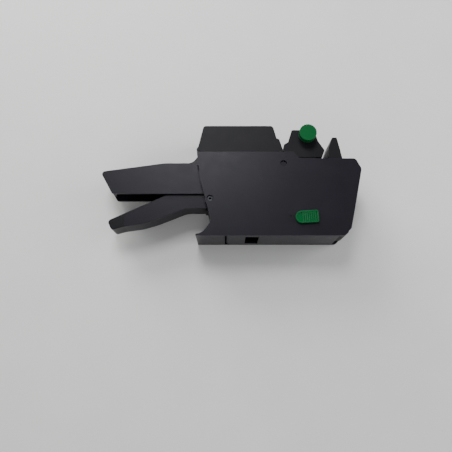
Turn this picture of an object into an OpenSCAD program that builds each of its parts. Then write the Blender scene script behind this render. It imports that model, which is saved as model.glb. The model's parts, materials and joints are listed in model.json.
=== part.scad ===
// Hand-held price labelling gun, lying on its flat left side.
// +X points to the nose, +Y to the gun's top, +Z up out of its right side.
// The origin is on the resting plane, below the middle of the gun.

/* [Casing] */
// Width of the casing across both halves
casing_w = 42; // [42:0.5:46]
// Wall thickness of the casing halves
wall = 2; // [1.6:0.1:2.2]
// Width of the fixed handle
handle_w = 26; // [26:0.5:27]
// Width of the magazine lid
lid_w = 41; // [41:0.5:41.5]

/* [Lever] */
// Width of the hand lever
lever_w = 21; // [20.5:0.1:21]
// Radius of the pin that the lever and the print arm turn on
pivot_r = 2.2; // [1.8:0.1:2.4]

/* [Print head] */
// Number of type bands
band_count = 8; // [6:1:8]
// Distance from one type band to the next
band_pitch = 3; // [2.8:0.1:3]
// Radius of the selector knob
knob_r = 7.9; // [6.5:0.1:8]
// Thickness of the selector knob
knob_t = 5.5; // [5:0.5:8]

/* [Labels] */
// Width of the labels
label_w = 26; // [22:1:26]
// Radius of a full roll of labels
roll_r = 28; // [20:1:28]

/* [Feed] */
// Radius of the feed wheel
feed_r = 7.6; // [7:0.1:7.8]
// Number of teeth on the feed ratchet
ratchet_teeth = 12; // [8:1:16]

/* [Latch] */
// How far the latch stands out of the casing
latch_h = 2.5; // [1.5:0.1:3]
// How far the latch slides
latch_travel = 3; // [2:0.5:3]

/* [Hidden] */

$fn = 48;
eps = 0.01;           // overlap that makes two shapes one solid
run = 0.06;           // running clearance of a pin in its hole
gap = 0.4;            // gap between neighbours that slide past each other
side = casing_w / 2;  // outer face of a casing half, from the middle plane
inner = side - wall;  // inner face of a casing half
grip = handle_w / 2;  // outer face of the handle
cheek = 17;           // outer face of the print arm, its head and the ink holder
bearing = cheek - 2;  // inner face of the same pieces
seat = side - 1;      // end of the pins and axles that lie in the casing
base_y = -52;         // flat base of the gun
base_t = 2;           // thickness of the bottom cover
pin_r = 1.5;          // pins of the lid, the ink holder, its roller and the nose bar
thin_pin_r = 1.2;     // pins of the bottom cover and the pawl
axle_r = 2;           // feed wheel's axle
roller_pin_r = 1;     // pressure roller's axle
spindle_r = 4;        // ends of the label roll's spindle
core_r = 9.9;         // the spindle where it carries the labels' core
shaft_r = 2.5;        // selector's shaft
screw_r = 1.5;        // thread of the casing screws
screw_head_r = 2.9;
screw_reach = 12;     // how far a screw reaches either side of the middle plane

// Axes that parts turn on
pivot = [-17.8, -17.8];
lid_hinge = [-27.4, 29.6];
spindle = [8.5, 15];
selector = [71.2, 42.7];
nose_bar = [71.2, -11.5];
ink_pivot = [103.5, -24];
ink_axis = [95, -4];
feed = [44.5, -34.5];
pressure = [44.5, -45.7];
applicator = [101.5, -44.5];
cover_hinge = [-1, -48.6];
pawl_pivot = [54.5, -12];
bed = [70, -32.6];    // middle of the platen's face, where the type strikes
bed_slope = -10.4;    // slope of the platen, which the print arm swings to
screws = [[-97, 0.5], [-52, 7.5], [-10, -42], [48.8, 15]];
latch = [64, -34.8];  // rear face and middle of the latch's stem
thumb = latch + [4, -0.5];  // middle of the latch's thumb plate
latch_tilt = 3.5;     // how far the thumb plate is turned on its stem
rib_h = 0.7;          // height of the thumb ribs

// Outlines: each corner is [x, y, fillet radius], listed anticlockwise
body_corners = [
    [-36.8, -52, 0.8], [100.7, -52, 3], [107.2, -45.3, 4], [112, -24.3, 40],
    [119.5, 10, 5], [114.6, 20, 4], [63, 20, 4], [58.5, 26.6, 3], [-30.3, 26.6, 1.2],
    [-26.8, 0, 30], [-19, -30, 4], [-16.6, -39, 10], [-24.5, -49.2, 10]
];
// The casing's cavity starts short of its pointed tail
cavity_corners = concat([[-26.7, -52, 0]],
    [for (i = [1:len(body_corners) - 2]) body_corners[i]]);
handle_corners = [
    [-107.4, -11.2, 2], [-20, -11.2, 0], [-20, 24, 0], [-30.2, 24, 0.5], [-34.5, 18.2, 9],
    [-60, 18.2, 40], [-119.3, 9.9, 3]
];
lever_corners = [
    [-111, -36, 3], [-107, -44.6, 3], [-97, -41.8, 12], [-80, -39.2, 30], [-67, -35.2, 40],
    [-52, -29.2, 30], [-40, -24.2, 20], [-26, -24.2, 0], [-13, -24.2, 5], [-10, -14, 6],
    [-18, -9.3, 6], [-40, -3.8, 12], [-70, -17.2, 30]
];
lid_corners = [
    [-30, 27, 2.6], [49, 27, 0.6], [45.6, 38.6, 1.2], [43.1, 39.8, 0.8],
    [39.8, 52, 3], [-24.2, 52, 3]
];
head_corners = [
    [52, 22.6, 1], [85, 22.6, 1], [87.6, 29.6, 2], [81.8, 38.5, 3], [78.7, 49.5, 1.5],
    [57.8, 49.5, 1.5], [54, 37.4, 2], [50.2, 35, 1.5], [49.8, 30, 2]
];
arm_corners = [
    [-2, -27.5, 3.5], [9, -27.5, 3.5], [24, -17, 12], [44, -14, 12], [80, -14, 4],
    [80, 22, 1], [56, 22, 1], [52, 9, 8], [10, 9, 10], [-2, -4, 5]
];
ink_corners = [
    [99.5, -28.5, 4], [107.5, -28.5, 4], [108, -12, 6], [106.5, 6, 20], [101.6, 31.6, 1.5],
    [99.3, 42.1, 1], [95, 42.1, 1], [91.3, 31.6, 1.5], [91.5, 10, 6], [87, -4, 6],
    [93, -14, 6]
];

// Geometry helpers
function xy(p) = [p.x, p.y];
function unit(v) = v / norm(v);
function turn(u, v) = u.x * v.y - u.y * v.x;

// Points of the arc that rounds corner b between its neighbours a and c
function corner(a, b, c) =
    let(u = unit(xy(a) - xy(b)), v = unit(xy(c) - xy(b)),
        cosine = max(-1, min(1, u * v)), half = acos(cosine) / 2)
    b.z <= 0 || half > 89.5 ? [xy(b)] :
    let(centre = xy(b) + unit(u + v) * b.z / sin(half),
        first = xy(b) + u * b.z / tan(half) - centre,
        sweep = (180 - 2 * half) * (turn(u, v) < 0 ? 1 : -1),
        steps = max(2, ceil(abs(sweep) / 12)))
    [for (i = [0:steps])
        let(a = sweep * i / steps)
        centre + [first.x * cos(a) - first.y * sin(a), first.x * sin(a) + first.y * cos(a)]];

function at(list, i) = list[(i + len(list)) % len(list)];
function rounded(corners) =
    [for (i = [0:len(corners) - 1])
        each corner(at(corners, i - 1), corners[i], at(corners, i + 1))];

// The same outline moved inwards by t, with its fillets kept concentric
function inset(corners, t) =
    [for (i = [0:len(corners) - 1])
        let(b = corners[i], u = unit(xy(b) - xy(at(corners, i - 1))),
            v = unit(xy(at(corners, i + 1)) - xy(b)),
            nu = [-u.y, u.x], nv = [-v.y, v.x],
            p = xy(b) + (nu + nv) * t / (1 + nu * nv))
        [p.x, p.y, turn(u, v) > 0 ? max(0, b.z - t) : b.z + t]];

module outline(corners, t = 0) polygon(rounded(t == 0 ? corners : inset(corners, t)));

module rim(corners, t) difference() {
    outline(corners);
    outline(corners, t);
}

// A flat piece between two distances from the gun's middle plane
module slab(low, high) translate([0, 0, side + low]) linear_extrude(high - low) children();

// A round bar across the gun, centred on an axis
module bar(axis, r, low, high) slab(low, high) translate(axis) circle(r);

// A block given by its x, y and sideways extents
module block(x0, x1, y0, y1, low, high)
    translate([x0, y0, side + low]) cube([x1 - x0, y1 - y0, high - low]);

// Its child and the mirror image of it on the left side
module both_sides() {
    children();
    translate([0, 0, casing_w]) mirror([0, 0, 1]) children();
}

module left_side() translate([0, 0, casing_w]) mirror([0, 0, 1]) children();

// A round wire swept along a list of points
module wire(points, r, sides = 8) {
    n = len(points);
    function heading(i) = unit(points[min(i + 1, n - 1)] - points[max(i - 1, 0)]);
    function side_dir(i) = unit(cross(heading(i), [0.013, 0.021, 1]));
    ring = [for (i = [0:n - 1]) let(s = side_dir(i), t = cross(heading(i), s))
        each [for (k = [0:sides - 1]) points[i] + r * (s * cos(360 * k / sides)
            + t * sin(360 * k / sides))]];
    faces = concat(
        [[for (k = [0:sides - 1]) k]],
        [for (i = [0:n - 2], k = [0:sides - 1])
            let(m = (k + 1) % sides, a = i * sides, b = a + sides)
            each [[a + k, b + k, b + m], [a + k, b + m, a + m]]],
        [[for (k = [sides - 1:-1:0]) (n - 1) * sides + k]]);
    polyhedron(ring, faces);
}

// Points of a coil about +Z, from height 0 and from the angle start
function coil(r, length, turns, per_turn = 12, start = 0) =
    [for (i = [0:turns * per_turn])
        let(a = start + 360 * i / per_turn)
        [r * cos(a), r * sin(a), length * i / (turns * per_turn)]];

// Casing

// One half of the casing, drawn on the right side
module half_casing() difference() {
    union() {
        difference() {
            half_walls();
            casing_openings();
        }
        half_bosses();
    }
    // The peel plate lies on its posts
    slab(13, inner + 1) peel_outline();
    bar(pivot, pivot_r, 0, side + 1);
    bar(pivot, 3, side - 1.2, side + 1);
    bar(lid_hinge, pin_r, 0, 17.9 + eps);
    bar(spindle, spindle_r, 0, inner + eps);
    bar(feed, axle_r, 0, seat);
    bar(ink_pivot, pin_r, 0, seat);
    bar(applicator, pin_r, 0, seat);
    bar(cover_hinge, thin_pin_r, 0, seat);
}

module half_walls() {
    slab(inner, side) outline(body_corners);
    slab(0, inner + eps) difference() {
        outline(body_corners);
        outline(cavity_corners, wall);
    }
    slab(grip - wall, grip) outline(handle_corners);
    handle_web();
}

module half_bosses() {
    bar(pivot, 5, lever_w / 2 + gap, inner + eps);
    bar(feed, 5, cheek + 0.2, inner + eps);
    bar(ink_pivot, 4, cheek + 0.3, inner + eps);
    bar(applicator, 3.4, 14, inner + eps);
    bar(cover_hinge, 3, 18.7, inner + eps);
    // Ear that carries the lid's hinge pin
    slab(15.6, 17.9) ear_outline();
    slab(15.6, inner + eps) intersection() {
        ear_outline();
        translate([-40, 10]) square([40, 16.6]);
    }
    // Cradle for the roll spindle
    slab(cheek + 0.2, inner + eps) difference() {
        translate(spindle) circle(7.5);
        translate(spindle - [spindle_r, 0]) square([2 * spindle_r, 9]);
    }
    // Posts that the platen and the peel plate rest on
    slab(14, inner + eps) platen_posts();
    // Bosses that the casing screws join
    intersection() {
        screw_boss(0, inner + eps, 4);
        union() {
            slab(0, side) outline(cavity_corners, 1);
            slab(0, grip) outline(handle_corners, 1);
        }
    }
}

module screw_boss(low, high, r) for (p = screws) bar(p, r, low, high);

module ear_outline() {
    translate(lid_hinge) circle(3.2);
    translate([lid_hinge.x - 2.4, 14]) square([5.6, lid_hinge.y - 14]);
}

// The wall along the top and the end of the handle
module handle_web() slab(0, grip - wall + eps) difference() {
    rim(handle_corners, 2.2);
    translate([-125, -25]) square([125, 18]);
    translate([-30.1, -25]) square([30, 60]);
}

module platen_posts() {
    translate(bed) rotate(bed_slope) translate([-13, -10]) square([3.5, 4]);
    translate([88, -48]) square([3.6, 8.6]);
}

module casing_openings() {
    // Top of the magazine, and the space that the print head stands in
    block(-28, 45.6, 20, 40, -inner, inner);
    block(48.2, 116.8, 14, 40, -inner, inner);
    // Lever and arm pass between handle and body
    block(-45, -14, -26.4, 15.5, -(grip - wall), grip - wall);
    // Base, closed by the bottom cover
    block(-4.5, 97.5, base_y - 1, base_y + base_t + 1, -inner, inner);
    // Outlet for the labels at the nose
    block(97, 120, base_y - 1, -36, -inner + 2, inner - 2);
}

// Slot for the stem of the latch, with a dimple that marks which way it slides
module latch_slot() {
    block(latch.x - latch_travel - gap, latch.x + 9, latch.y - 2.2, latch.y + 2.2, 0, side + 1);
    bar(latch - [10, 0], 1.6, side - 0.6, side + 1);
}

module right_shell() color([0.19, 0.19, 0.2]) difference() {
    union() {
        half_casing();
        // Peg for the lever's return spring, and the seat of the latch spring
        bar([-11.9, -9], 1.2, 3, inner + eps);
        block(50, 51.8, latch.y - 1.8, latch.y + 1.8, inner - 3, inner + eps);
    }
    screw_boss(-1, screw_reach, screw_r);
    // Round recess below the lid
    bar(screws[3], 3.2, side - 1.6, side + 1);
    latch_slot();
}

module left_shell() color([0.19, 0.19, 0.2]) left_side() difference() {
    half_casing();
    screw_boss(-1, side + 1, screw_r + 0.2);
    screw_boss(screw_reach - 2, side + 1, screw_head_r + 0.3);
}

module casing_screws() color("silver") for (p = screws) difference() {
    union() {
        bar(p, screw_r, -screw_reach, screw_reach - eps);
        bar(p, screw_head_r, -screw_reach, 2 - screw_reach);
    }
    // Cross in the head
    slab(-screw_reach - eps, 1 - screw_reach) translate(p) for (a = [0, 90]) rotate(a)
        square([3.6, 0.8], center = true);
}

module lever_stop() color([0.08, 0.08, 0.08]) block(-22.3, -18.8, -26.4, -24.6, -7, 7);

// Lid

module magazine_lid() color([0.2, 0.2, 0.21]) difference() {
    union() {
        both_sides() slab(lid_w / 2 - wall, lid_w / 2) outline(lid_corners);
        slab(-lid_w / 2 + eps, lid_w / 2 - eps) difference() {
            rim(lid_corners, wall);
            translate([-27.4, 20]) square([90, 9]);
            translate([-40, 20]) square([90, 9.6]);
        }
    }
    both_sides() bar(lid_hinge, 4.2, 15, 18.4);
    bar(lid_hinge, pin_r + run, -lid_w / 2 + 0.5, lid_w / 2 - 0.5);
}

module lid_hinge_pin() color("silver")
    bar(lid_hinge, pin_r, -lid_w / 2 + 0.6, lid_w / 2 - 0.6);

// Label roll

module roll_spindle() color([0.15, 0.15, 0.16]) {
    bar(spindle, core_r, -label_w / 2 - 0.8, label_w / 2 + 0.8);
    bar(spindle, spindle_r, -inner, inner);
}

module label_core() color([0.72, 0.6, 0.42]) slab(-label_w / 2, label_w / 2) translate(spindle)
    difference() { circle(core_r + 1.6); circle(core_r + run); }

module label_roll() color([0.95, 0.95, 0.9]) slab(-label_w / 2, label_w / 2) translate(spindle)
    difference() { circle(roll_r); circle(core_r + 1.6); }

// Lever

module hand_lever() color([0.2, 0.2, 0.21]) difference() {
    union() {
        both_sides() slab(lever_w / 2 - 2.2, lever_w / 2) {
            outline(lever_corners);
            translate(pivot) circle(7);
        }
        // The web along the lever's underside
        slab(-lever_w / 2 + eps, lever_w / 2 - eps) intersection() {
            rim(lever_corners, 2.2);
            polygon([[-130, -28], [-107, -38], [-71, -28], [-45, -19], [-18.5, -19], [-18.5, -60],
                [-130, -60]]);
        }
    }
    bar(pivot, pivot_r + run, -20, 20);
    lever_tip(eps);
}

// The end of the lever, which the cap closes
module lever_tip(extra) slab(-lever_w / 2 - extra, lever_w / 2 + extra) intersection() {
    polygon([[-99 + extra, -20], [-130, -20], [-130, -60], [-92 + extra, -60]]);
    outline(lever_corners, -extra);
}

module lever_end_cap() color([0.1, 0.1, 0.1]) lever_tip(0);

module lever_pivot_pin() color([0.1, 0.1, 0.1]) difference() {
    bar(pivot, pivot_r, -side + 1.5, side - 1.5);
    both_sides() bar(pivot, 1.2, side - 4, side);
}

module lever_return_spring() color("silver") translate([pivot.x, pivot.y, side - 5])
    wire(concat([[-14, -3, 0], [-7, -3, 0]], coil(3, 10, 6.25, 12, -90),
        [[3, 5, 10], [4.2, 10, 10]]), 0.4);

// Print arm and head

module print_arm() color([0.16, 0.16, 0.17]) difference() {
    union() {
        both_sides() slab(bearing, cheek) outline(arm_corners);
        // Ears that turn on the lever pivot, inside the lever's channel
        both_sides() slab(5.7, 7.9) {
            translate(pivot) circle(4);
            polygon([pivot + [0, 4], pivot + [0, -4], [4, -26.5], [5, -20.5]]);
        }
        bar([4, -23.5], 3, -bearing - eps, bearing + eps);
        // Lug for the pawl's pin
        bar(pawl_pivot, 2.2, -bearing - eps, 0.2 - bearing);
    }
    bar(pivot, pivot_r + run, -20, 20);
}

module drive_spring() color("silver") translate([-8.4, -21.2, side]) rotate([0, 90, -13])
    wire(coil(2.2, 9, 6), 0.4);

module head_frame() color([0.13, 0.13, 0.14]) difference() {
    union() {
        both_sides() slab(12.8, bearing)
            outline([[63, -14, 2], [79.5, -14, 2], [77, 46, 2], [64, 46, 2]]);
        block(63, 64.6, 2, 42, -13, 13);
    }
    bar(selector, shaft_r + run, -20, 20);
    bar(nose_bar, pin_r, -20, 20);
}

module head_housing() color([0.17, 0.17, 0.18]) difference() {
    slab(-cheek, cheek) outline(head_corners);
    slab(-bearing, bearing) {
        outline(head_corners, 1.8);
        translate([54, 20]) square([29, 10]);
    }
    bar(selector, 3.4, 0, 20);
    window_cut();
}

// Window in the sloping back of the housing
module window_cut() translate([55.8, 43.3, side]) rotate([0, 0, 17.4])
    cube([5, 6, 20], center = true);

module digit_window() color([0.85, 0.9, 0.9, 0.4]) intersection() {
    window_cut();
    slab(-14, 14) difference() {
        outline(head_corners, 0.4);
        outline(head_corners, 1.6);
    }
}

// Distance of band i from the middle plane
function band_z(i) = (i - (band_count - 1) / 2) * band_pitch;

module type_bands() color([0.12, 0.12, 0.12]) for (i = [0:band_count - 1])
    slab(band_z(i) - 1.3, band_z(i) + 1.3) difference() {
        union() {
            band_loop(4.1);
            for (y = [-8:4:40], x = [-4.6, 3.6]) translate([selector.x + x, y]) square([1, 2]);
            translate(nose_bar + [-1, -4.6]) square([2, 1]);
        }
        band_loop(3.1);
    }

module band_loop(r) {
    translate(selector) circle(r);
    translate(nose_bar) circle(r);
    translate(nose_bar - [r, 0]) square([2 * r, selector.y - nose_bar.y]);
}

module band_wheels() color([0.9, 0.9, 0.88]) for (i = [0:band_count - 1])
    slab(band_z(i) - 1.2, band_z(i) + 1.2) translate(selector) difference() {
        circle(3.1);
        circle(shaft_r + run);
    }

module type_nose_bar() color([0.3, 0.3, 0.3]) {
    bar(nose_bar, 3.1, -12.4, 12.4);
    bar(nose_bar, pin_r, -bearing, bearing);
}

module selector_sleeve() color([0.12, 0.12, 0.12]) slab(cheek + 0.3, side + 0.9)
    translate(selector) difference() { circle(4.4); circle(shaft_r + run); }

module selector_shaft() color("silver") bar(selector, shaft_r, -13, side + 4);

module selector_knob() color([0.1, 0.5, 0.27]) difference() {
    bar(selector, knob_r, side + 1.2, side + 1.2 + knob_t);
    bar(selector, shaft_r, side, side + 4);
    for (a = [0:15:345])
        slab(side + 2, side + knob_t + 2) translate(selector + (knob_r + 0.15) * [cos(a), sin(a)])
            circle(0.5, $fn = 16);
}

// Ink roller and its holder

module ink_holder() color([0.15, 0.15, 0.16]) difference() {
    union() {
        both_sides() slab(bearing, cheek) outline(ink_corners);
        slab(-bearing - eps, bearing + eps) intersection() {
            rim(ink_corners, 1.8);
            translate([80, 24]) square([40, 30]);
        }
        block(104.4, 106.2, -16, 4, -bearing - eps, bearing + eps);
    }
    bar(ink_pivot, pin_r + run, -20, 20);
    bar(ink_axis, pin_r, -20, 20);
}

module ink_holder_pin() color("silver") bar(ink_pivot, pin_r, -seat, seat);

module ink_roller() color([0.12, 0.12, 0.3]) slab(-12.8, 12.8) translate(ink_axis)
    difference() { circle(7); circle(pin_r + run); }

module ink_roller_axle() color("silver") bar(ink_axis, pin_r, -cheek, cheek);

// Label path

// The curved strip that leads the labels from the roll to the platen
module label_guide() color("silver") {
    slab(-12.6, 13.5) guide_strip(-133);
    slab(13.4, inner) guide_strip(-110.6);
}

module guide_strip(start) intersection() {
    translate([75, 26]) difference() { circle(58.9, $fn = 180); circle(58.3, $fn = 180); }
    polygon([[75, 26], [75, 26] + 90 * [cos(start), sin(start)],
        [75, 26] + 90 * [cos(-108.6), sin(-108.6)]]);
}

module platen() color([0.2, 0.2, 0.2]) slab(-14, 14) translate(bed) rotate(bed_slope)
    translate([-13, -6]) square([28, 4.8]);

module platen_pad() color([0.35, 0.2, 0.15]) slab(-13.5, 13.5) translate(bed)
    rotate(bed_slope) translate([-12, -1.2]) square([26.5, 1.2]);

// The sheet that the backing paper is pulled round, so that the label peels off
module peel_outline() polygon([
    [85.6, -35.6], [86.6, -35.6], [96.9, -49], [96.5, -49.9], [85.6, -37]]);

module peel_plate() color("silver") slab(-14.5, 14.5) peel_outline();

module application_hub() color([0.85, 0.85, 0.83]) slab(-13, 13) translate(applicator)
    difference() { circle(2.8); circle(pin_r + run); }

module application_roller() color([0.1, 0.1, 0.1]) slab(-13, 13) translate(applicator)
    difference() { circle(5.5); circle(2.8); }

module application_axle() color("silver") bar(applicator, pin_r, -seat, seat);

// Feed

module feed_wheel() color([0.88, 0.88, 0.85]) difference() {
    union() {
        bar(feed, feed_r, -12.5, 12.5);
        for (z = [-6, 6]) slab(z - 0.8, z + 0.8) translate(feed) for (a = [0:36:324])
            rotate(a) translate([feed_r - 1, -0.6]) square([1.4, 1.2]);
    }
    bar(feed, axle_r + run, -20, 20);
}

module feed_ratchet() color([0.88, 0.88, 0.85]) slab(-14.6, -12.5) translate(feed) difference() {
    polygon([for (i = [0:ratchet_teeth - 1]) let(a = 360 * i / ratchet_teeth)
        each [6.2 * [cos(a), sin(a)], 5 * [cos(a + 1), sin(a + 1)]]]);
    circle(axle_r + run);
}

module feed_wheel_axle() color("silver") bar(feed, axle_r, -seat, seat);

module feed_pawl() color([0.2, 0.2, 0.2]) slab(-14.7, -12.9) difference() {
    union() {
        translate(pawl_pivot) circle(2.6);
        polygon([pawl_pivot + [-2, -1.5], [53.6, -29.5], [55.4, -29], pawl_pivot + [2.2, -1.5]]);
    }
    translate(pawl_pivot) circle(thin_pin_r + run);
}

module pawl_pin() color("silver") bar(pawl_pivot, thin_pin_r, -14.8, -9.8);

module pawl_spring() color("silver") translate([pawl_pivot.x, pawl_pivot.y, side - 12.3])
    wire(concat([[-1.6, -2.2, 0]], coil(1.6, 2.2, 4.25, 8, 180), [[5, -1.6, 2.2]]), 0.2, 6);

// Bottom cover

module bottom_cover() color([0.18, 0.18, 0.19]) difference() {
    union() {
        block(1, 97, base_y, base_y + base_t, -inner + gap, inner - gap);
        slab(-18.4, 18.4) {
            translate(cover_hinge) circle(3);
            translate([cover_hinge.x, base_y]) square([10, base_t]);
        }
        // Bearings of the pressure roller
        both_sides() slab(13.4, 15.4) {
            translate(pressure) circle(2.2);
            translate([pressure.x - 2.2, base_y]) square([4.4, pressure.y - base_y]);
        }
        // Lug that the latch holds
        block(79, 83, base_y, -36, 16.4, 18.4);
    }
    bar(cover_hinge, thin_pin_r + run, -20, 20);
    bar(pressure, roller_pin_r, -20, 20);
    // Outlet for the empty backing paper
    block(14, 26, base_y - 1, base_y + base_t + 1, -label_w / 2 - 1, label_w / 2 + 1);
}

module cover_hinge_pin() color("silver") bar(cover_hinge, thin_pin_r, -seat, seat);

module pressure_roller() color([0.1, 0.1, 0.1]) slab(-12.5, 12.5) translate(pressure)
    difference() { circle(2.6); circle(roller_pin_r + run); }

module pressure_roller_axle() color("silver") bar(pressure, roller_pin_r, -15.4, 15.4);

// Latch

// Thumb plate's outline, round at the rear
module latch_outline(t) translate(thumb) rotate(latch_tilt)
    outline([[-10, -5.5, 5.3], [10.2, -5.5, 1.4], [10.2, 5.5, 1.4], [-10, 5.5, 5.3]], t);

module cover_latch() color([0.1, 0.5, 0.27]) {
    // The rim and the thumb ribs stand above the plate's face
    slab(side + 0.1, side + latch_h - rib_h + eps) latch_outline(0);
    slab(side + latch_h - rib_h, side + latch_h) {
        difference() {
            latch_outline(0);
            latch_outline(1.1);
        }
        translate(thumb) rotate(latch_tilt) for (i = [0:6])
            translate([1.8 * i - 3.7, -4.6]) square([0.8, 9.2]);
    }
    // Stem, and the tongue behind the casing's wall
    block(latch.x, latch.x + 8.6, latch.y - 1.8, latch.y + 1.8, inner - 0.7, side + 0.2);
    block(latch.x - 1, latch.x + 14.6, latch.y - 1.8, latch.y + 3.2, inner - 2.2, inner - 0.3);
}

module latch_spring() color("silver") translate([52, latch.y, side + inner - 1.4])
    rotate([0, 90, 0]) wire(coil(1, 10.4, 8, 10), 0.25, 6);

right_shell();
left_shell();
casing_screws();
magazine_lid();
lid_hinge_pin();
roll_spindle();
label_core();
label_roll();
hand_lever();
lever_end_cap();
lever_pivot_pin();
lever_return_spring();
lever_stop();
print_arm();
drive_spring();
head_frame();
head_housing();
digit_window();
type_bands();
band_wheels();
type_nose_bar();
selector_sleeve();
selector_shaft();
selector_knob();
ink_holder();
ink_holder_pin();
ink_roller();
ink_roller_axle();
label_guide();
platen();
platen_pad();
peel_plate();
application_roller();
application_hub();
application_axle();
feed_wheel();
feed_ratchet();
feed_wheel_axle();
feed_pawl();
pawl_pin();
pawl_spring();
bottom_cover();
cover_hinge_pin();
pressure_roller();
pressure_roller_axle();
cover_latch();
latch_spring();
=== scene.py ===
"""Looks of the hand-held price labelling gun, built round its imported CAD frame."""
import json
import math

import bmesh
import bpy
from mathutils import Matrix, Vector


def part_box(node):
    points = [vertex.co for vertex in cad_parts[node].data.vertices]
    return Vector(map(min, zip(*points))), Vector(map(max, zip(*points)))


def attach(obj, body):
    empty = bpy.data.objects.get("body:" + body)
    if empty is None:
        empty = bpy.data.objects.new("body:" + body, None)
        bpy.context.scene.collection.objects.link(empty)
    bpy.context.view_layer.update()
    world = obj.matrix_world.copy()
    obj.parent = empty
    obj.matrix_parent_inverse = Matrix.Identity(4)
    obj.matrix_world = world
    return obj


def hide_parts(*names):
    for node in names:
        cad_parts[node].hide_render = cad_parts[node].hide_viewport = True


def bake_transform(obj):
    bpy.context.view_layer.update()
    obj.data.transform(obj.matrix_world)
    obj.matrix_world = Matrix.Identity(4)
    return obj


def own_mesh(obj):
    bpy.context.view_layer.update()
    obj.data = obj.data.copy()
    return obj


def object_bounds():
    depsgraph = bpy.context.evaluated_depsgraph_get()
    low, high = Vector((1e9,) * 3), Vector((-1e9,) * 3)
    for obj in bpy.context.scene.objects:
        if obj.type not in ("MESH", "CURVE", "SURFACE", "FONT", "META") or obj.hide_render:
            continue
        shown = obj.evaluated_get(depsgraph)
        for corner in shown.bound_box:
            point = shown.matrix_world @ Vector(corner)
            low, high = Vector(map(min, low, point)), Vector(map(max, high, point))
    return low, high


MM = 0.001
# Vertices that lie closer together than this, in metres, are one
WELD_REACH = 2e-6
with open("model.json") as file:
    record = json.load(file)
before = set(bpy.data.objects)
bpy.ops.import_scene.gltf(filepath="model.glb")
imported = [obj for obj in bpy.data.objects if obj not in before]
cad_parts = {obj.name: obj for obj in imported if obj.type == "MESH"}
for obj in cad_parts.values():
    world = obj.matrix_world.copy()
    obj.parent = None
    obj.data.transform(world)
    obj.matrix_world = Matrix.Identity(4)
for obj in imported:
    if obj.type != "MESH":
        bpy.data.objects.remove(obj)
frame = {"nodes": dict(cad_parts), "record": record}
cad_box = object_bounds()
nodes = frame["nodes"]
body_of_node = {n: b for b, members in frame["record"]["behaviour"]["bodies"].items() for n in members}


# ---------------------------------------------------------------- shader nodes

def add(tree, kind, inputs=None, **settings):
    """A shader node whose inputs take either a number, a colour or another node's output."""
    made = tree.nodes.new(kind)
    for key, value in settings.items():
        setattr(made, key, value)
    for key, value in (inputs or {}).items():
        if isinstance(value, bpy.types.NodeSocket):
            tree.links.new(value, made.inputs[key])
        else:
            made.inputs[key].default_value = value
    return made


def math_node(tree, operation, a, b=0.0):
    """The result of one calculation: a and b are numbers or other nodes' outputs."""
    return add(tree, "ShaderNodeMath", {0: a, 1: b}, operation=operation).outputs[0]


def noise(tree, place, size, detail=3.0, roughness=0.55):
    """Noise whose features are about size millimetres across."""
    made = add(tree, "ShaderNodeTexNoise",
               {"Vector": place, "Scale": 1 / (size * MM), "Detail": detail, "Roughness": roughness})
    return made.outputs["Fac"]


def cells(tree, place, size):
    """Rounded cells about size millimetres across, dark in their middles."""
    made = add(tree, "ShaderNodeTexVoronoi", {"Vector": place, "Scale": 1 / (size * MM)})
    return made.outputs["Distance"]


def spread(tree, value, low, high, start=0.3, end=0.7):
    """value, which runs from start to end, as a number from low to high."""
    made = add(tree, "ShaderNodeMapRange",
               {"Value": value, "From Min": start, "From Max": end, "To Min": low, "To Max": high})
    return made.outputs["Result"]


def blend_colours(tree, share, first, second):
    """The first colour where share is 0, the second where it is 1."""
    made = add(tree, "ShaderNodeMix", {0: share}, data_type="RGBA")
    for index, colour in ((6, first), (7, second)):
        if isinstance(colour, bpy.types.NodeSocket):
            tree.links.new(colour, made.inputs[index])
        else:
            made.inputs[index].default_value = (*colour, 1)
    return made.outputs[2]


def bump(tree, height, depth, before=None):
    """A surface that rises by depth millimetres where height is 1."""
    inputs = {"Height": height, "Distance": depth * MM, "Strength": 1.0}
    if before is not None:
        inputs["Normal"] = before
    return add(tree, "ShaderNodeBump", inputs).outputs["Normal"]


def new_material(name):
    """A material with its tree, its Principled shader, and the place on the piece in metres."""
    material = bpy.data.materials.new(name)
    material.use_nodes = True
    tree = material.node_tree
    shader = tree.nodes["Principled BSDF"]
    place = add(tree, "ShaderNodeTexCoord").outputs["Object"]
    return material, tree, shader, place


def connect(tree, shader, colour, roughness, normal):
    """Links the three values that vary over the surface."""
    tree.links.new(colour, shader.inputs["Base Color"])
    tree.links.new(roughness, shader.inputs["Roughness"])
    tree.links.new(normal, shader.inputs["Normal"])


def edge_share(tree, reach):
    """1 along the piece's edges, falling to 0 at reach millimetres from them."""
    rounded = add(tree, "ShaderNodeBevel", {"Radius": reach * MM}, samples=4).outputs[0]
    straight = add(tree, "ShaderNodeNewGeometry").outputs["Normal"]
    agree = add(tree, "ShaderNodeVectorMath", {0: rounded, 1: straight},
                operation="DOT_PRODUCT").outputs["Value"]
    at_edge, away = 0.75, 0.99
    return spread(tree, agree, 1.0, 0.0, at_edge, away)


# ------------------------------------------------------------------- materials

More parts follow.
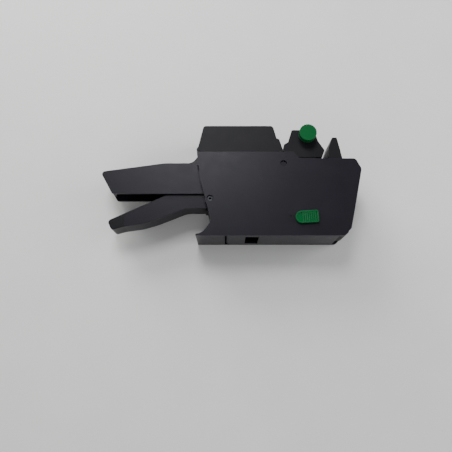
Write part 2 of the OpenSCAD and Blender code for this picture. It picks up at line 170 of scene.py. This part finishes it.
def moulded_plastic(name, colour, edge_wear_and_highlight, roughness, grain, depth, specular):
    """Injection-moulded plastic: spark-eroded grain, slow flow marks, and edges painted lighter, partly as
    rubbed wear and partly as a painted highlight along the rims.
    """
    material, tree, shader, place = new_material(name)
    flow = noise(tree, place, 38, detail=3)
    speckle = noise(tree, place, 0.9, detail=2)
    handled = noise(tree, place, 9, detail=5, roughness=0.62)
    darker = [c * 0.9 for c in colour]
    lighter = [c * 1.1 for c in colour]
    tone = blend_colours(tree, spread(tree, flow, 0.0, 1.0), darker, lighter)
    tone = blend_colours(tree, spread(tree, speckle, 0.0, 0.22), tone, lighter)
    # The edges are painted lighter: partly rubbed wear, partly a painted highlight along the rims.
    rubbed_and_highlit_edges = math_node(tree, "MULTIPLY", edge_share(tree, 0.7), spread(tree, handled, 0.15, 0.75))
    tone = blend_colours(tree, rubbed_and_highlit_edges, tone, edge_wear_and_highlight)
    gloss = math_node(tree, "ADD", spread(tree, handled, roughness - 0.02, roughness + 0.03),
                      spread(tree, speckle, -0.03, 0.03))
    pits = bump(tree, cells(tree, place, grain), depth)
    normal = bump(tree, noise(tree, place, 7, detail=1), 0.02, before=pits)
    connect(tree, shader, tone, gloss, normal)
    shader.inputs["Specular IOR Level"].default_value = specular
    return material


def metal(name, colour, roughness, streak, along):
    """Metal with fine drawing marks, streak millimetres wide, that run along one axis."""
    material, tree, shader, place = new_material(name)
    # A small scale along the axis draws the noise out into marks
    scale_along = 0.04
    stretch = [scale_along if axis == along else 1.0 for axis in range(3)]
    drawn = add(tree, "ShaderNodeMapping", {"Vector": place, "Scale": stretch}).outputs["Vector"]
    marks = noise(tree, drawn, streak, detail=4, roughness=0.7)
    cloud = noise(tree, place, 5)
    tone = blend_colours(tree, spread(tree, cloud, 0.0, 1.0), [c * 0.86 for c in colour], colour)
    gloss = math_node(tree, "ADD", spread(tree, marks, -0.05, 0.07),
                      spread(tree, cloud, roughness - 0.04, roughness + 0.04))
    connect(tree, shader, tone, gloss, bump(tree, marks, 0.006))
    shader.inputs["Metallic"].default_value = 1.0
    return material


def rubber(name):
    """Matt black rubber with a little dust on it."""
    material, tree, shader, place = new_material(name)
    dust = noise(tree, place, 4, detail=5)
    tone = blend_colours(tree, spread(tree, dust, 0.0, 1.0), (0.012, 0.012, 0.012), (0.03, 0.029, 0.028))
    connect(tree, shader, tone, spread(tree, dust, 0.62, 0.82), bump(tree, noise(tree, place, 0.4), 0.02))
    return material


def ink_felt(name):
    """Open-pored felt, soaked with blue-black ink."""
    material, tree, shader, place = new_material(name)
    pores = cells(tree, place, 0.7)
    soaked = noise(tree, place, 5, detail=4)
    tone = blend_colours(tree, spread(tree, soaked, 0.0, 1.0), (0.006, 0.006, 0.02), (0.02, 0.024, 0.07))
    connect(tree, shader, tone, spread(tree, soaked, 0.45, 0.85), bump(tree, pores, 0.25))
    shader.inputs["Sheen Weight"].default_value = 0.3
    return material


def wound_paper(name):
    """White paper wound into a roll: its ends show the layers as fine rings."""
    material, tree, shader, place = new_material(name)
    low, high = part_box("label_roll")
    middle = (low + high) / 2
    from_axis = add(tree, "ShaderNodeVectorMath", {0: place, 1: (middle.x, middle.y, 0)},
                    operation="SUBTRACT").outputs[0]
    flat = add(tree, "ShaderNodeVectorMath", {0: from_axis, 1: (1, 1, 0)}, operation="MULTIPLY").outputs[0]
    radius = add(tree, "ShaderNodeVectorMath", {0: flat}, operation="LENGTH").outputs["Value"]
    loose = noise(tree, place, 14, detail=2)
    wander = math_node(tree, "MULTIPLY", loose, 0.4 * MM)
    layer = 0.32 * MM
    turns = math_node(tree, "DIVIDE", math_node(tree, "ADD", radius, wander), layer)
    rings = math_node(tree, "SINE", math_node(tree, "MULTIPLY", turns, 2 * math.pi))
    fibres = noise(tree, place, 0.5, detail=4)
    tone = blend_colours(tree, spread(tree, rings, 0.0, 1.0, -1, 1), (0.62, 0.61, 0.56), (0.86, 0.85, 0.81))
    tone = blend_colours(tree, spread(tree, fibres, 0.0, 0.25), tone, (0.74, 0.72, 0.66))
    connect(tree, shader, tone, spread(tree, fibres, 0.55, 0.75), bump(tree, rings, 0.03))
    return material


def label_face(name):
    """Smooth coated paper, whiter than the edges of the roll."""
    material, tree, shader, place = new_material(name)
    fibres = noise(tree, place, 0.6, detail=4)
    tone = blend_colours(tree, spread(tree, fibres, 0.0, 1.0), (0.84, 0.84, 0.82), (0.9, 0.9, 0.88))
    connect(tree, shader, tone, spread(tree, fibres, 0.42, 0.55), bump(tree, fibres, 0.006))
    return material


def card(name):
    """Brown card, with long fibres."""
    material, tree, shader, place = new_material(name)
    drawn = add(tree, "ShaderNodeMapping", {"Vector": place, "Scale": (1.0, 1.0, 0.2)}).outputs["Vector"]
    fibres = noise(tree, drawn, 0.8, detail=6, roughness=0.7)
    tone = blend_colours(tree, spread(tree, fibres, 0.0, 1.0), (0.3, 0.2, 0.11), (0.5, 0.37, 0.23))
    connect(tree, shader, tone, spread(tree, fibres, 0.75, 0.92), bump(tree, fibres, 0.03))
    return material


def clear_acrylic(name):
    """Clear sheet with faint smears."""
    material, tree, shader, place = new_material(name)
    smears = noise(tree, place, 3, detail=3)
    tone = blend_colours(tree, spread(tree, smears, 0.0, 1.0), (0.93, 0.97, 0.96), (0.99, 1.0, 1.0))
    connect(tree, shader, tone, spread(tree, smears, 0.02, 0.1), bump(tree, smears, 0.004))
    shader.inputs["Transmission Weight"].default_value = 1.0
    shader.inputs["IOR"].default_value = 1.49
    return material


# Plastics: colour, edge colour (rubbed wear and painted highlight), roughness, grain across and depth in
# millimetres, specular level
PLASTICS = {
    "casing_plastic": ((0.0098, 0.009, 0.0135), (0.04, 0.04, 0.046), 0.36, 0.45, 0.014, 0.2),
    "lid_plastic": ((0.0078, 0.0076, 0.0092), (0.034, 0.034, 0.038), 0.46, 0.4, 0.016, 0.16),
    "lever_plastic": ((0.0098, 0.009, 0.0135), (0.04, 0.04, 0.046), 0.36, 0.5, 0.012, 0.18),
    "inner_plastic": ((0.0065, 0.0065, 0.0076), (0.03, 0.03, 0.033), 0.38, 0.35, 0.01, 0.18),
    "natural_plastic": ((0.7, 0.69, 0.63), (0.8, 0.79, 0.74), 0.36, 0.5, 0.008, 0.4),
    "green_plastic": ((0.0003, 0.088, 0.02), (0.05, 0.22, 0.11), 0.36, 0.4, 0.01, 0.12),
}
MATERIALS = {name: moulded_plastic(name, *look) for name, look in PLASTICS.items()} | {
    "window_clear": clear_acrylic("window_clear"),
    "steel": metal("steel", (0.66, 0.65, 0.62), 0.28, 0.35, 2),
    "dark_steel": metal("dark_steel", (0.06, 0.06, 0.063), 0.36, 0.35, 2),
    "rubber": rubber("rubber"),
    "ink_felt": ink_felt("ink_felt"),
    "label_paper": wound_paper("label_paper"),
    "core_card": card("core_card"),
}


# ---------------------------------------------------------- carried-over nodes

# How far the corners are rounded, in millimetres: by material, and by node where that is too much
EDGES = {
    "casing_plastic": 0.5, "lid_plastic": 0.6, "lever_plastic": 0.5, "inner_plastic": 0.3,
    "natural_plastic": 0.2, "green_plastic": 0.4, "window_clear": 0.15, "steel": 0.2,
    "dark_steel": 0.25, "rubber": 0.15, "ink_felt": 0.5, "label_paper": 0.15, "core_card": 0.1,
}
FINE_EDGES = {
    "cover_latch": 0.18, "type_bands": 0.1, "casing_screws": 0.15, "feed_ratchet": 0.12,
    "feed_wheel": 0.15, "label_guide": 0.08, "peel_plate": 0.08, "head_frame": 0.2,
}
# Neighbouring faces that differ by less than FLAT degrees are merged; edges over SHARP are rounded
FLAT = 0.5
SHARP = 35
# Nodes whose flat faces hold so many islands that merging them into one face would tear them
KEPT_TRIANGLES = {"cover_latch"}


def soften(piece, width):
    """Rounds a piece's sharp edges and shades the rest smoothly."""
    for face in piece.data.polygons:
        face.use_smooth = True
    weld = piece.modifiers.new("weld", "WELD")
    weld.merge_threshold = WELD_REACH
    if piece.name not in KEPT_TRIANGLES:
        flat = piece.modifiers.new("flat", "DECIMATE")
        flat.decimate_type = "DISSOLVE"
        flat.angle_limit = math.radians(FLAT)
    bevel = piece.modifiers.new("bevel", "BEVEL")
    bevel.width = width * MM
    bevel.segments = 3
    bevel.limit_method = "ANGLE"
    bevel.angle_limit = math.radians(SHARP)
    bevel.miter_outer = "MITER_ARC"
    normals = piece.modifiers.new("normals", "WEIGHTED_NORMAL")
    normals.keep_sharp = False


def finish_cad_nodes():
    """Gives each CAD node its material and its rounded edges; springs are only shaded smoothly."""
    for row in frame["record"]["subparts"]:
        piece, slot = nodes[row["node"]], row["material_slot"]
        piece.data.materials.clear()
        piece.data.materials.append(MATERIALS[slot])
        if row["node"].endswith("_spring"):
            for face in piece.data.polygons:
                face.use_smooth = True
            piece.modifiers.new("weld", "WELD").merge_threshold = WELD_REACH
        else:
            soften(piece, FINE_EDGES.get(row["node"], EDGES[slot]))


# ----------------------------------------------------------------- fine pieces

def new_piece(name, mesh, material, body):
    """A new piece, made in the shared frame, that rides on a CAD body."""
    piece = bpy.data.objects.new(name, mesh)
    mesh.materials.append(material)
    bpy.context.scene.collection.objects.link(piece)
    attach(piece, body)
    return piece


def working_spring(node):
    """A copy of a CAD spring that bends or is pressed together, shown in its place while the CAD spring is
    hidden.
    """
    piece = bpy.data.objects.new(node + "_coil", nodes[node].data.copy())
    bpy.context.scene.collection.objects.link(piece)
    piece.modifiers.new("weld", "WELD").merge_threshold = WELD_REACH
    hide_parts(node)
    return piece


def working_springs():
    """The springs that a joint bends or presses together."""
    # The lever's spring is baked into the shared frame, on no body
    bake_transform(working_spring("lever_return_spring"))
    # The latch's spring rides on the casing's body, with a mesh of its own
    pressed = working_spring("latch_spring")
    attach(pressed, body_of_node["right_shell"])
    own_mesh(pressed)


def finished_mesh(made, name):
    """The faces that were made, all facing outwards, as a mesh."""
    bmesh.ops.recalc_face_normals(made, faces=made.faces)
    mesh = bpy.data.meshes.new(name)
    made.to_mesh(mesh)
    made.free()
    return mesh


def bent_label(into, middle, radius, start, sweep, low, high, thickness):
    """One label on the roll: a thin curved tile with wavy ends."""
    steps, waves = 8, 12
    wave_height = 0.35 * MM
    rows = []
    for i in range(steps + 1):
        angle = start + sweep * i / steps
        row = []
        for k in range(waves + 1):
            across = k / waves
            wavy = wave_height * math.sin(across * waves * math.pi / 2) if i in (0, steps) else 0.0
            turned = angle + wavy / radius
            z = low + (high - low) * across
            row.append([into.verts.new((middle.x + r * math.cos(turned), middle.y + r * math.sin(turned), z))
                        for r in (radius, radius + thickness)])
        rows.append(row)
    for i in range(steps):
        for k in range(waves):
            a, b, c, d = rows[i][k], rows[i + 1][k], rows[i + 1][k + 1], rows[i][k + 1]
            into.faces.new([a[1], b[1], c[1], d[1]])
            into.faces.new([d[0], c[0], b[0], a[0]])
    for i in range(steps):
        for k, flip in ((0, 1), (waves, -1)):
            a, b = rows[i][k], rows[i + 1][k]
            into.faces.new([a[0], b[0], b[1], a[1]][::flip])
    for k in range(waves):
        for i, flip in ((0, -1), (steps, 1)):
            a, b = rows[i][k], rows[i][k + 1]
            into.faces.new([a[0], b[0], b[1], a[1]][::flip])


def roll_labels():
    """The labels on the outermost turn of the roll."""
    low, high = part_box("label_roll")
    middle = (low + high) / 2
    clearance, margin, thickness = 0.02 * MM, 0.4 * MM, 0.12 * MM
    radius = (high.x - low.x) / 2 + clearance
    pitch, length = 14 * MM, 12 * MM
    count = int(2 * math.pi * radius / pitch)
    tiles = bmesh.new()
    for i in range(count):
        bent_label(tiles, middle, radius, 2 * math.pi * i / count, length / radius,
                   low.z + margin, high.z - margin, thickness)
    new_piece("roll_labels", finished_mesh(tiles, "roll_labels"), label_face("label_face"),
              body_of_node["label_roll"])


# Where each stroke of a digit lies, in a cell 1 wide and 2 high
STROKES = {
    "top": ((0, 2), (1, 2)), "middle": ((0, 1), (1, 1)), "bottom": ((0, 0), (1, 0)),
    "upper_left": ((0, 1), (0, 2)), "upper_right": ((1, 1), (1, 2)),
    "lower_left": ((0, 0), (0, 1)), "lower_right": ((1, 0), (1, 1)),
}
# The strokes that each digit lacks
MISSING = {
    0: ["middle"], 1: ["top", "middle", "bottom", "upper_left", "lower_left"],
    2: ["upper_left", "lower_right"], 3: ["upper_left", "lower_left"], 4: ["top", "bottom", "lower_left"],
    5: ["upper_right", "lower_left"], 6: ["upper_right"],
    7: ["middle", "bottom", "upper_left", "lower_left"], 8: [], 9: ["lower_left"],
}


def digit(into, number, corner, wide, high, out):
    """A raised digit whose strokes are little bars: wide, high and out are the cell's three edges."""
    half_stroke = 0.17
    for name, (start, end) in STROKES.items():
        if name in MISSING[number]:
            continue
        low = Vector((min(start[0], end[0]) - half_stroke, min(start[1], end[1]) - half_stroke))
        top = Vector((max(start[0], end[0]) + half_stroke, max(start[1], end[1]) + half_stroke))
        outline = ((low.x, low.y), (top.x, low.y), (top.x, top.y), (low.x, top.y))
        corners = [corner + wide * u + high * (v / 2) + out * w for w in (0, 1) for u, v in outline]
        made = [into.verts.new(c) for c in corners]
        into.faces.new(made[4:])
        into.faces.new(made[3::-1])
        for i in range(4):
            j = (i + 1) % 4
            into.faces.new([made[i], made[j], made[j + 4], made[i + 4]])


def band_digits():
    """Raised digits on the pads of the type bands, on the side that faces the window."""
    low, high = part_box("type_bands")
    bands, pitch, rows, row_pitch = 8, 3 * MM, 13, 4 * MM
    width, height, relief, sunk = 1.1 * MM, 1.4 * MM, 0.15 * MM, 0.02 * MM
    mid_z = (low.z + high.z) / 2
    # The bands run round the selector's axis, and their lowest pads start this far below it
    loop_radius, axis_to_pad, pad_height = 4.1 * MM, 50.7 * MM, 2 * MM
    axis_y = high.y - loop_radius
    first_row = axis_y - axis_to_pad + pad_height / 2
    raised = bmesh.new()
    for band in range(bands):
        z = mid_z + (band - (bands - 1) / 2) * pitch
        for row in range(rows):
            corner = Vector((low.x + sunk, first_row + row * row_pitch - height / 2, z - width / 2))
            # Neighbouring bands start three digits apart
            digit(raised, (row + 3 * band) % 10, corner,
                  Vector((0, 0, width)), Vector((0, height, 0)), Vector((-relief, 0, 0)))
    new_piece("band_digits", finished_mesh(raised, "band_digits"), MATERIALS["natural_plastic"],
              body_of_node["type_bands"])


# ---------------------------------------------------------------------- studio

def studio():
    """A pale floor just below the object, a plain world and four soft lamps."""
    floor_mesh = bpy.data.meshes.new("floor")
    reach = 4.0
    level = cad_box[0][2] - 0.1 * MM
    corners = [(x, y, level) for x, y in ((-reach, -reach), (reach, -reach), (reach, reach), (-reach, reach))]
    floor_mesh.from_pydata(corners, [], [(0, 1, 2, 3)])
    floor = bpy.data.objects.new("floor", floor_mesh)
    bpy.context.scene.collection.objects.link(floor)
    material, tree, shader, place = new_material("floor")
    cloud = noise(tree, place, 60, detail=3)
    tone = blend_colours(tree, spread(tree, cloud, 0.0, 1.0), (0.8, 0.79, 0.77), (0.83, 0.82, 0.8))
    connect(tree, shader, tone, spread(tree, cloud, 0.6, 0.7), bump(tree, noise(tree, place, 2), 0.02))
    floor_mesh.materials.append(material)

    world = bpy.data.worlds.new("studio")
    bpy.context.scene.world = world
    world.use_nodes = True
    background = world.node_tree.nodes["Background"]
    background.inputs["Color"].default_value = (0.86, 0.87, 0.9, 1)
    background.inputs["Strength"].default_value = 0.29

    # Name, place in metres, size in metres, power in watts, colour
    lamp("sheen", (-0.1, 0.46, 0.85), 0.32, 4.2, (0.95, 0.95, 1.0))
    lamp("back", (-0.6, 1.05, 0.5), 0.8, 20.0, (1.0, 0.99, 0.97))
    lamp("side", (0.95, 0.1, 0.5), 0.7, 6.0, (0.95, 0.97, 1.0))
    lamp("front", (-0.5, -1.0, 0.6), 0.9, 3.5, (0.96, 0.98, 1.0))


def lamp(name, place, size, power, colour):
    """A square soft light that faces the object."""
    middle = Vector((0, 0, 20 * MM))
    light = bpy.data.lights.new(name, "AREA")
    light.shape = "SQUARE"
    light.size = size
    light.energy = power
    light.color = colour
    holder = bpy.data.objects.new(name, light)
    holder.location = place
    holder.rotation_euler = (middle - Vector(place)).to_track_quat("-Z", "Y").to_euler()
    bpy.context.scene.collection.objects.link(holder)


def camera():
    """Looks down on the gun's right side, slightly tilted, as the photo does."""
    focal_length, nearest, tilt = 39.8, 0.01, 13.5
    lens = bpy.data.cameras.new("camera")
    lens.lens = focal_length
    lens.clip_start = nearest
    holder = bpy.data.objects.new("camera", lens)
    holder.location = (-0.0035, -0.1463, 0.4703)
    holder.rotation_euler = (math.radians(tilt), 0, 0)
    bpy.context.scene.collection.objects.link(holder)
    bpy.context.scene.camera = holder


camera()
finish_cad_nodes()
working_springs()
roll_labels()
band_digits()
studio()
